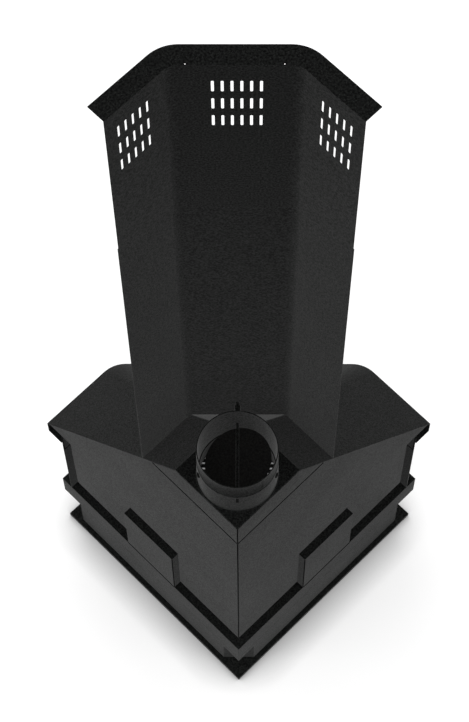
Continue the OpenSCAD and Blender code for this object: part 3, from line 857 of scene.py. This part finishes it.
@dataclass
class Sealant:
    """Thin black beads along the open seams of the rear sheets: painted shade that stands for the shadow in
    the gaps.
    """

    radius: float = 1.2 * MM
    top_gap: float = 2 * MM

    def build(self) -> None:
        """Beads in the upright rear corner, under the gable strips and round the air boxes' feet."""
        shield, strip, box = (
            Box.of(f"{name}_left") for name in ("heat_shield", "gable_strip", "rear_air_box"))
        corner = room_corner()
        shield_gap, strip_gap = (corner - shield.high.y) / DIAGONAL, (corner - strip.high.y) / DIAGONAL
        strip_end = strip.high.x * DIAGONAL + strip_gap
        near = box.low.x * DIAGONAL + shield_gap
        foot_gap = (corner - box.high.y) * DIAGONAL - near
        far, low = box.high.x * DIAGONAL + foot_gap, box.low.z + self.radius
        shell = Shell("rear_seam_shade_beads")
        for gap, foot, head in ((shield_gap, shield.low.z, strip.low.z),
                                (strip_gap, strip.low.z, strip.high.z)):
            self.bead(shell, on_wall(gap, gap, foot, 1), on_wall(gap, gap, head, 1))
        for side in (-1, 1):
            self.bead(shell, on_wall(strip_gap, strip_gap, strip.low.z, side),
                      on_wall(strip_end, strip_gap, strip.low.z, side))
            foot = on_wall(near, foot_gap, low, side)
            self.bead(shell, foot, on_wall(far, foot_gap, low, side))
            self.bead(shell, foot, on_wall(near, foot_gap, box.high.z - self.top_gap, side))
        beads = shell.build(60)
        # Painted shade: the beads stay black under any light and don't show in reflections.
        beads.data.materials.append(SEAM_SHADE.material)
        beads.visible_glossy = False
        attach(beads, "stove")

    def bead(self, shell: Shell, start: Vector, end: Vector) -> None:
        """One straight bead with rounded ends, from start to end."""
        run = end - start
        shell.add_turned(domed_outline(self.radius, run.length, self.radius / 2, 4), start, run, 12)


@dataclass
class Flue:
    """The flue collar's weld bead and its two screws."""

    bead: float = 1.5 * MM
    bead_ripples: int = 150
    bead_steps: int = 600
    bead_ripple: float = 0.12
    bead_out: float = 0.2 * MM
    head_r: float = 5.5 * MM
    head_h: float = 4.0 * MM
    stem_r: float = 2.5 * MM
    stem_edge: float = 0.2 * MM
    cross_half_w: float = 0.6 * MM
    cross_reach: float = 3.0 * MM
    cross_depth: float = 1.6 * MM

    def build(self) -> None:
        """Makes the weld bead and then the screws."""
        self.weld()
        self.screws()

    def weld(self) -> None:
        """Bead round the collar's foot: a small circle carried round it, with ripples in its radius."""
        collar, plate = Box.of("flue_collar"), Box.of("top_plate")
        turn = np.arange(self.bead_steps) * TURN / self.bead_steps
        outward = np.stack([np.cos(turn), np.sin(turn), np.zeros_like(turn)], axis=-1)
        centre = np.array([collar.centre.x, collar.centre.y, plate.high.z + self.bead_out])
        path = centre + outward * (collar.size.x / 2 + self.bead_out)
        ripple = 1 + self.bead_ripple * np.cos(self.bead_ripples * turn)
        ring = np.arange(10) * TURN / 10
        outline = self.bead * np.stack([np.cos(ring), np.sin(ring)], axis=-1)
        upright = np.tile([0.0, 0.0, 1.0], (len(path), 1))
        shell = Shell("collar_weld")
        shell.add_swept(path, outward, upright, outline * ripple[:, None, None], closed=True)
        bead = shell.build(80)
        bead.data.materials.append(COAT.material)
        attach(bead, "stove")

    def screws(self) -> None:
        """Pan heads with a cross recess, pointing away from the flue's axis, on the collar's two screws."""
        collar = Box.of("flue_collar")
        points = packed_points("collar_screws")
        shell = Shell("collar_screws_turned")
        for side in (points[:, 0] > 0, points[:, 0] < 0):
            screw = points[side]
            height = (screw[:, 2].min() + screw[:, 2].max()) / 2
            centre = Vector((collar.centre.x, collar.centre.y, height))
            middle = screw.mean(axis=0)
            out = Vector((middle[0] - centre.x, middle[1] - centre.y, 0.0)).normalized()
            reach = (screw - np.array([centre.x, centre.y, 0])) @ np.array(out)
            near, far = reach.min(), reach.max()
            foot = centre + out * (far - self.head_h)
            self.cross_head(shell, foot, out)
            stem = domed_outline(self.stem_r, far - near - self.head_h, self.stem_edge)
            shell.add_turned(stem, centre + out * near, out, 24)
        seat(shell.build(50), Slot.STEEL, COAT, "collar_screws")

    def cross_head(self, shell: Shell, foot: Vector, axis: Vector) -> None:
        """Adds a pan head whose top is sunk in a cross.

        On a polar grid the height is h = head_h * (1 - 0.45 * (r / head_r)^4), less cross_depth wherever
        the point lies within cross_half_w of one of two crossed lines and within cross_reach of the middle.

        Args:
            shell: Where the head is added.
            foot: Middle of the head's seat.
            axis: Direction away from the seat.
        """
        across, beside, along = frame_along(axis)
        angle = np.arange(64) * TURN / 64
        r = np.concatenate([[0.0], np.linspace(0.05, 1.0, 22)])[::-1, None] * self.head_r
        u, v = r * np.cos(angle), r * np.sin(angle)
        arm = np.minimum(np.abs(u), np.abs(v))
        inside = 1 / (1 + np.exp((arm - self.cross_half_w) / (0.12 * self.cross_half_w)))
        within = 1 / (1 + np.exp((r - self.cross_reach) / (0.04 * self.cross_reach)))
        h = self.head_h * (1 - 0.45 * (r / self.head_r) ** 4) - self.cross_depth * inside * within
        top = u[..., None] * across + v[..., None] * beside + h[..., None] * along
        skirt = top[:1] - (self.head_h * 0.55) * along
        shell.add_grid(np.array(foot) + np.concatenate([np.zeros_like(skirt), skirt, top]))


@dataclass
class Door:
    """The glazed door's rope seal and turned handle."""

    strand_count: int = 6
    strand_pitch: float = 15 * MM
    strand_depth: float = 0.09
    rope_step: float = 1.6 * MM
    rope_sides: int = 24
    corner_r: float = 14 * MM
    lever_dip: float = 0.22
    rope_r: float = 3 * MM
    side_gap: float = 4 * MM

    def build(self) -> None:
        """Makes the seal and the handle."""
        self.seal()
        self.handle()

    def seal(self) -> None:
        """Rope round the frame: an ellipse carried round a rounded rectangle.

        It is scaled by 1 - strand_depth * (1 - |cos((strand_count * angle - turn) / 2)|), where turn
        grows by one circle for each pitch along the rope, which lays the strands in a helix.
        """
        ring = Box.of("door_seal")
        half_w = ring.size.x / 2 - self.side_gap
        half_h = ring.size.z / 2 - self.rope_r
        corners = rounded_outline(half_w, half_h, self.corner_r, 12)
        loop = np.concatenate([corners, corners[:1]])
        run = np.concatenate([[0.0], np.cumsum(np.linalg.norm(np.diff(loop, axis=0), axis=1))])
        turns = round(run[-1] / self.strand_pitch)
        count = int(run[-1] / self.rope_step)
        at = np.arange(count) * run[-1] / count
        x, z = np.interp(at, run, loop[:, 0]), np.interp(at, run, loop[:, 1])
        ahead = np.stack([np.roll(x, -1) - np.roll(x, 1), np.roll(z, -1) - np.roll(z, 1)], axis=-1)
        ahead /= np.linalg.norm(ahead, axis=1, keepdims=True)
        zeros = np.zeros(count)
        path = np.array(ring.centre) + np.stack([x, zeros, z], axis=-1)
        outward = np.stack([ahead[:, 1], zeros, -ahead[:, 0]], axis=-1)
        front = np.tile([0.0, 1.0, 0.0], (count, 1))
        angle = np.arange(self.rope_sides) * TURN / self.rope_sides
        lay = self.strand_count * angle - TURN * turns * (at / run[-1])[:, None]
        swell = 1 - self.strand_depth * (1 - np.abs(np.cos(lay / 2)))
        reach = [self.rope_r, ring.size.y / 2]
        outline = swell[..., None] * np.stack([np.cos(angle), np.sin(angle)], axis=-1) * reach
        shell = Shell("door_seal_rope")
        shell.add_swept(path, outward, front, outline, closed=True)
        seat(shell.build(70), Slot.ROPE, ROPE, "door_seal")

    def handle(self) -> None:
        """Turned boss, hub and knob on a tapered lever.

        The lever's outline is a rounded rectangle whose scale is 1 - lever_dip * sin(pi * t).
        """
        whole, panel = Box.of("door_handle"), Box.of("door_frame")
        hub_r, boss_r, spindle_r, lever_t = 10 * MM, 11 * MM, 5 * MM, 10 * MM
        x = whole.centre.x
        hub_z = whole.high.z - boss_r
        knob_z = whole.low.z + hub_r
        lever_y = whole.low.y + lever_t
        front = Vector(Axis.FRONT.value)
        shell = Shell("door_handle_turned")
        spindle = domed_outline(spindle_r, whole.high.y - lever_y + 1 * MM, 0.5 * MM)
        shell.add_turned(spindle, Vector((x, whole.high.y, hub_z)), front)
        boss = np.array([[0, 0], [11, 0], [11, 1.6], [10.4, 2.4], [8.6, 3.4],
                         [7.6, 5.0], [7.2, 7.4], [6.6, 8], [0, 8]])
        shell.add_turned(boss * MM, Vector((x, panel.low.y - 0.3 * MM, hub_z)), front)
        shell.add_turned(domed_outline(hub_r, lever_t, 2 * MM), Vector((x, lever_y, hub_z)), front)
        knob = domed_outline(hub_r, lever_t, 2.5 * MM)
        shell.add_turned(knob, Vector((x, lever_y, knob_z)), front, 72, 18, 0.6 * MM, (4, 10))
        t = np.linspace(0, 1, 25)[:, None]
        path = np.array([x, lever_y - lever_t / 2, hub_z]) + t * [0, 0, knob_z - hub_z]
        outline = rounded_outline(6 * MM, lever_t / 2 - 0.4 * MM, 2.5 * MM)
        dip = 1 - self.lever_dip * np.sin(math.pi * t)
        across, beside = (np.tile(way, (len(t), 1)) for way in ([1.0, 0, 0], [0, 1.0, 0]))
        shell.add_swept(path, across, beside, outline * dip[..., None])
        seat(shell.build(35), Slot.BRIGHT, BRUSHED, "door_handle")


@dataclass
class DrawerPull:
    """Bar handle of the ash drawer on two posts with turned feet."""

    bar_r: float = 5 * MM
    post_r: float = 4 * MM
    post_inset: float = 15 * MM
    flare_r: float = 2.5 * MM
    flare_h: float = 3 * MM

    def build(self) -> None:
        """A rounded bar, and two posts whose feet flare as a short cove."""
        whole = Box.of("drawer_pull")
        z = whole.centre.z
        bar_y = whole.low.y + self.bar_r
        shell = Shell("drawer_pull_turned")
        shell.add_turned(domed_outline(self.bar_r, whole.size.x, 2 * MM), Vector((whole.low.x, bar_y, z)),
                         Vector(Axis.LEFT.value))
        cove = np.linspace(0, 1, 8)
        flare = np.stack([self.post_r + self.flare_r * (1 - cove) ** 2, self.flare_h * cove], axis=-1)
        length = whole.high.y - bar_y
        outline = np.concatenate([[[0, 0]], flare, [[self.post_r, length], [0, length]]])
        for side in (-1, 1):
            foot = Vector((side * (whole.size.x / 2 - self.post_inset), whole.high.y, z))
            shell.add_turned(outline, foot, Vector(Axis.FRONT.value), 32)
        seat(shell.build(40), Slot.BRIGHT, BRUSHED_ACROSS, "drawer_pull")


@dataclass
class AirKnob:
    """Fluted knob on the end of the air slide's rod."""

    flutes: int = 20
    flute_depth: float = 0.5 * MM

    def build(self) -> None:
        """A turned knob with a neck, a fluted grip and a domed front."""
        whole = Box.of("air_knob")
        r, length = whole.size.x / 2, whole.size.y
        grip = [[0, 0], [0.6, 0], [0.62, 0.2], [0.9, 0.26], [1, 0.34], [1, 0.5], [1, 0.66], [1, 0.82]]
        nose = [[0.94, 0.9], [0.8, 0.95], [0.5, 0.985], [0, 1]]
        outline = np.array(grip + nose) * [r, length]
        shell = Shell("air_knob_turned")
        foot = Vector((whole.centre.x, whole.high.y, whole.centre.z))
        shell.add_turned(outline, foot, Vector(Axis.FRONT.value), 120, self.flutes, self.flute_depth, (4, 8))
        seat(shell.build(35), Slot.BRIGHT, BRUSHED, "air_knob")


@dataclass(frozen=True)
class Lamp:
    """A square soft lamp that looks at the middle of the object."""

    name: str
    place: Triple
    side: float
    watts: float
    aim: Triple = (0.0, 0.0, 0.9)

    def build(self) -> None:
        """Makes the lamp."""
        data = bpy.data.lights.new(self.name, "AREA")
        data.size = self.side
        data.energy = self.watts
        lamp = linked(self.name, data)
        lamp.location = self.place
        look = Vector(self.aim) - Vector(self.place)
        lamp.rotation_euler = look.to_track_quat("-Z", "Y").to_euler()


@dataclass
class Studio:
    """Pale floor, soft lamps and the camera at the photograph's angle."""

    eye: Triple = (-0.0173, 1.62775, 5.0111)
    yaw_deg: float = 0.797
    pitch_deg: float = 67.381
    roll_deg: float = -0.684
    focal_px: float = 2324.2
    photo_h: int = 722
    sensor: float = 36.0
    floor_half: float = 14.0
    world_level: float = 0.80
    floor_tone: float = 0.60
    floor_lift: float = 0.53
    pool: Triple = (0.1, 0.05, 0.0)
    pool_lift: Pair = (0.58, 0.0)
    pool_reach: Pair = (0.25, 1.2)
    shadow_reach: float = 0.085
    shadow_curve: float = 0.75
    shadow_full: float = 0.53
    shadow_lift: float = 0.04
    lamps: tuple[Lamp, ...] = (
        Lamp("key_lamp", (3.9, 1.2, 1.7), 2.0, 60.0),
        Lamp("fill_lamp", (-3.9, 1.2, 1.7), 2.0, 36.0),
        Lamp("front_lamp", (0.8, -4.2, 3.6), 2.8, 60.0),
    )

    def build(self) -> None:
        """Makes the camera, the floor, the world and the lamps."""
        self.camera()
        self.floor()
        self.world()
        for lamp in self.lamps:
            lamp.build()

    def camera(self) -> None:
        """Camera whose axes follow from yaw, pitch and roll: it looks down, and picture right is -X."""
        yaw, pitch, roll = (math.radians(v) for v in (self.yaw_deg, self.pitch_deg, self.roll_deg))
        level = math.cos(pitch)
        forward = Vector((math.sin(yaw) * level, -math.cos(yaw) * level, -math.sin(pitch)))
        right = forward.cross(Vector((0, 0, 1))).normalized()
        up = right.cross(forward)
        tilted_right = right * math.cos(roll) + up * math.sin(roll)
        tilted_up = up * math.cos(roll) - right * math.sin(roll)
        data = bpy.data.cameras.new("photo_camera")
        data.sensor_width = self.sensor
        data.lens = self.focal_px * self.sensor / self.photo_h
        data.clip_end = 100
        camera = linked("photo_camera", data)
        turn = Matrix((tilted_right, tilted_up, -forward)).transposed()
        camera.matrix_world = Matrix.Translation(Vector(self.eye)) @ turn.to_4x4()
        bpy.context.scene.camera = camera

    def floor(self) -> None:
        """Flat pale floor that keeps the object's shadow, shows white to the camera and has a painted contact
        shadow cut into its white near the object.
        """
        line = np.linspace(-self.floor_half, self.floor_half, 3)
        x, y = np.meshgrid(line, line, indexing="ij")
        shell = Shell("studio_floor")
        shell.add_grid(np.stack([x, y, np.full_like(x, -0.1 * MM)], axis=-1), close_cols=False)
        floor = shell.build()
        floor.data.materials.append(self.floor_finish())

    def floor_finish(self) -> Material:
        """Matt pale paper, lifted to white where it is looked at, and with a painted pool of light that only
        gloss sees.

        The white falls near the object with the occlusion to the power shadow_curve, a painted contact
        shadow, and the painted pool falls evenly with the distance from its middle.

        Returns:
            The paper's material.
        """
        made = bpy.data.materials.new("studio_paper")
        sheet = NodeSheet(made)
        # Painted contact shadow: ambient occlusion near the object cuts the floor's white glow.
        near = sheet.add("ShaderNodeAmbientOcclusion", {"Distance": self.shadow_reach}, samples=32)
        closed = sheet.span(near, "AO", (0.0, 1.0), (1.0, self.shadow_full))
        curved = sheet.add("ShaderNodeMath", {1: self.shadow_curve}, operation="POWER")
        sheet.join(closed, "Result", curved, 0)
        white = sheet.span(curved, 0, (self.floor_lift, self.shadow_lift), (0.0, 1.0))
        # Painted pool of light: a glow for glossy rays that falls off with the distance from the pool's
        # middle.
        away = sheet.add("ShaderNodeVectorMath", {1: self.pool}, operation="DISTANCE")
        sheet.join(sheet.place, "Object", away, 0)
        pool = sheet.span(away, "Value", self.pool_lift, self.pool_reach)
        path = sheet.add("ShaderNodeLightPath")
        looked_at = sheet.math("MAXIMUM", (path, "Is Camera Ray"), (path, "Is Transmission Ray"))
        seen = sheet.math("MULTIPLY", (looked_at, 0), (white, "Result"))
        gloss = sheet.math("MULTIPLY", (path, "Is Glossy Ray"), (pool, "Result"))
        level = sheet.math("MAXIMUM", (gloss, 0), (seen, 0))
        lift = sheet.add("ShaderNodeEmission", {"Color": (1.0, 1.0, 1.0, 1.0)})
        paper = sheet.add("ShaderNodeBsdfDiffuse", {"Color": (*(self.floor_tone,) * 3, 1.0)})
        both = sheet.add("ShaderNodeAddShader")
        sheet.join(level, 0, lift, "Strength")
        sheet.join(paper, 0, both, 0)
        sheet.join(lift, 0, both, 1)
        sheet.join(both, 0, sheet.output, "Surface")
        return made

    def world(self) -> None:
        """Even pale surroundings: white where they are seen, and a plain soft light on the object."""
        world = bpy.data.worlds.new("studio_world")
        bpy.context.scene.world = world
        sheet = NodeSheet(world)
        backdrop = sheet.add("ShaderNodeBackground", {"Color": (1.0, 1.0, 1.0, 1.0)})
        path = sheet.add("ShaderNodeLightPath")
        direct = sheet.math("MAXIMUM", (path, "Is Camera Ray"), (path, "Is Glossy Ray"))
        seen = sheet.math("MAXIMUM", (direct, 0), (path, "Is Transmission Ray"))
        level = sheet.span(seen, 0, (self.world_level, 1.0), (0.0, 1.0))
        sheet.join(level, "Result", backdrop, "Strength")
        sheet.join(backdrop, 0, sheet.output, "Surface")


def sheet_groups() -> list[Sheetwork]:
    """The nodes that keep their packed form.

    Returns:
        A group for each finish and width of the rounded edges.
    """
    return [
        Sheetwork(Slot.STEEL, COAT, 0.5 * MM, (
            "base_tray", "plinth_rear_left", "plinth_rear_right", "plinth_front", "plinth_corner_plate",
            "hearth_box", "hearth_top", "heat_shield_left", "heat_shield_right", "gable_strip_left",
            "gable_strip_right", "rear_air_box_left", "rear_air_box_right", "cheek_left", "cheek_right",
            "facade_panel", "hinge_brackets", "mantel_fascia", "roof_cover", "top_plate", "flue_collar",
            "damper_axle", "damper_handle", "ash_drawer")),
        Sheetwork(Slot.STEEL, COAT, 0.4 * MM, ("hood_lower", "hood_upper", "hood_cornice")),
        Sheetwork(Slot.CAST, CAST, 0.5 * MM, (
            "firebox_shell", "smoke_dome", "smoke_neck", "baffle_brackets", "damper_disc")),
        Sheetwork(Slot.CAST, CAST, 1.0 * MM, ("fire_grate", "log_guard", "door_frame")),
        Sheetwork(Slot.CLAY, CLAY, 1.5 * MM, ("floor_bricks", "baffle_plate")),
        Sheetwork(Slot.BRIGHT, BRUSHED_ACROSS, 0.3 * MM, ("glass_clips", "latch_tongue", "air_slide")),
        Sheetwork(Slot.GLASS, GLASS, 0.4 * MM, ("door_glass",)),
    ]


FRAME: dict = {}


def main() -> None:
    """Loads the frame, sets up the studio and builds each sub-assembly in turn."""
    logging.basicConfig(level=logging.INFO, format="%(message)s")
    bpy.context.scene.view_settings.view_transform = "Standard"
    for left_over in list(bpy.data.objects):
        bpy.data.objects.remove(left_over)
    FRAME.update(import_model())
    Studio().build()
    for group in sheet_groups():
        group.build()
    for part in (Lining(), Sealant(), Flue(), Door(), DrawerPull(), AirKnob()):
        part.build()
        LOG.info("%s done", type(part).__name__)


if __name__ == "__main__":
    main()
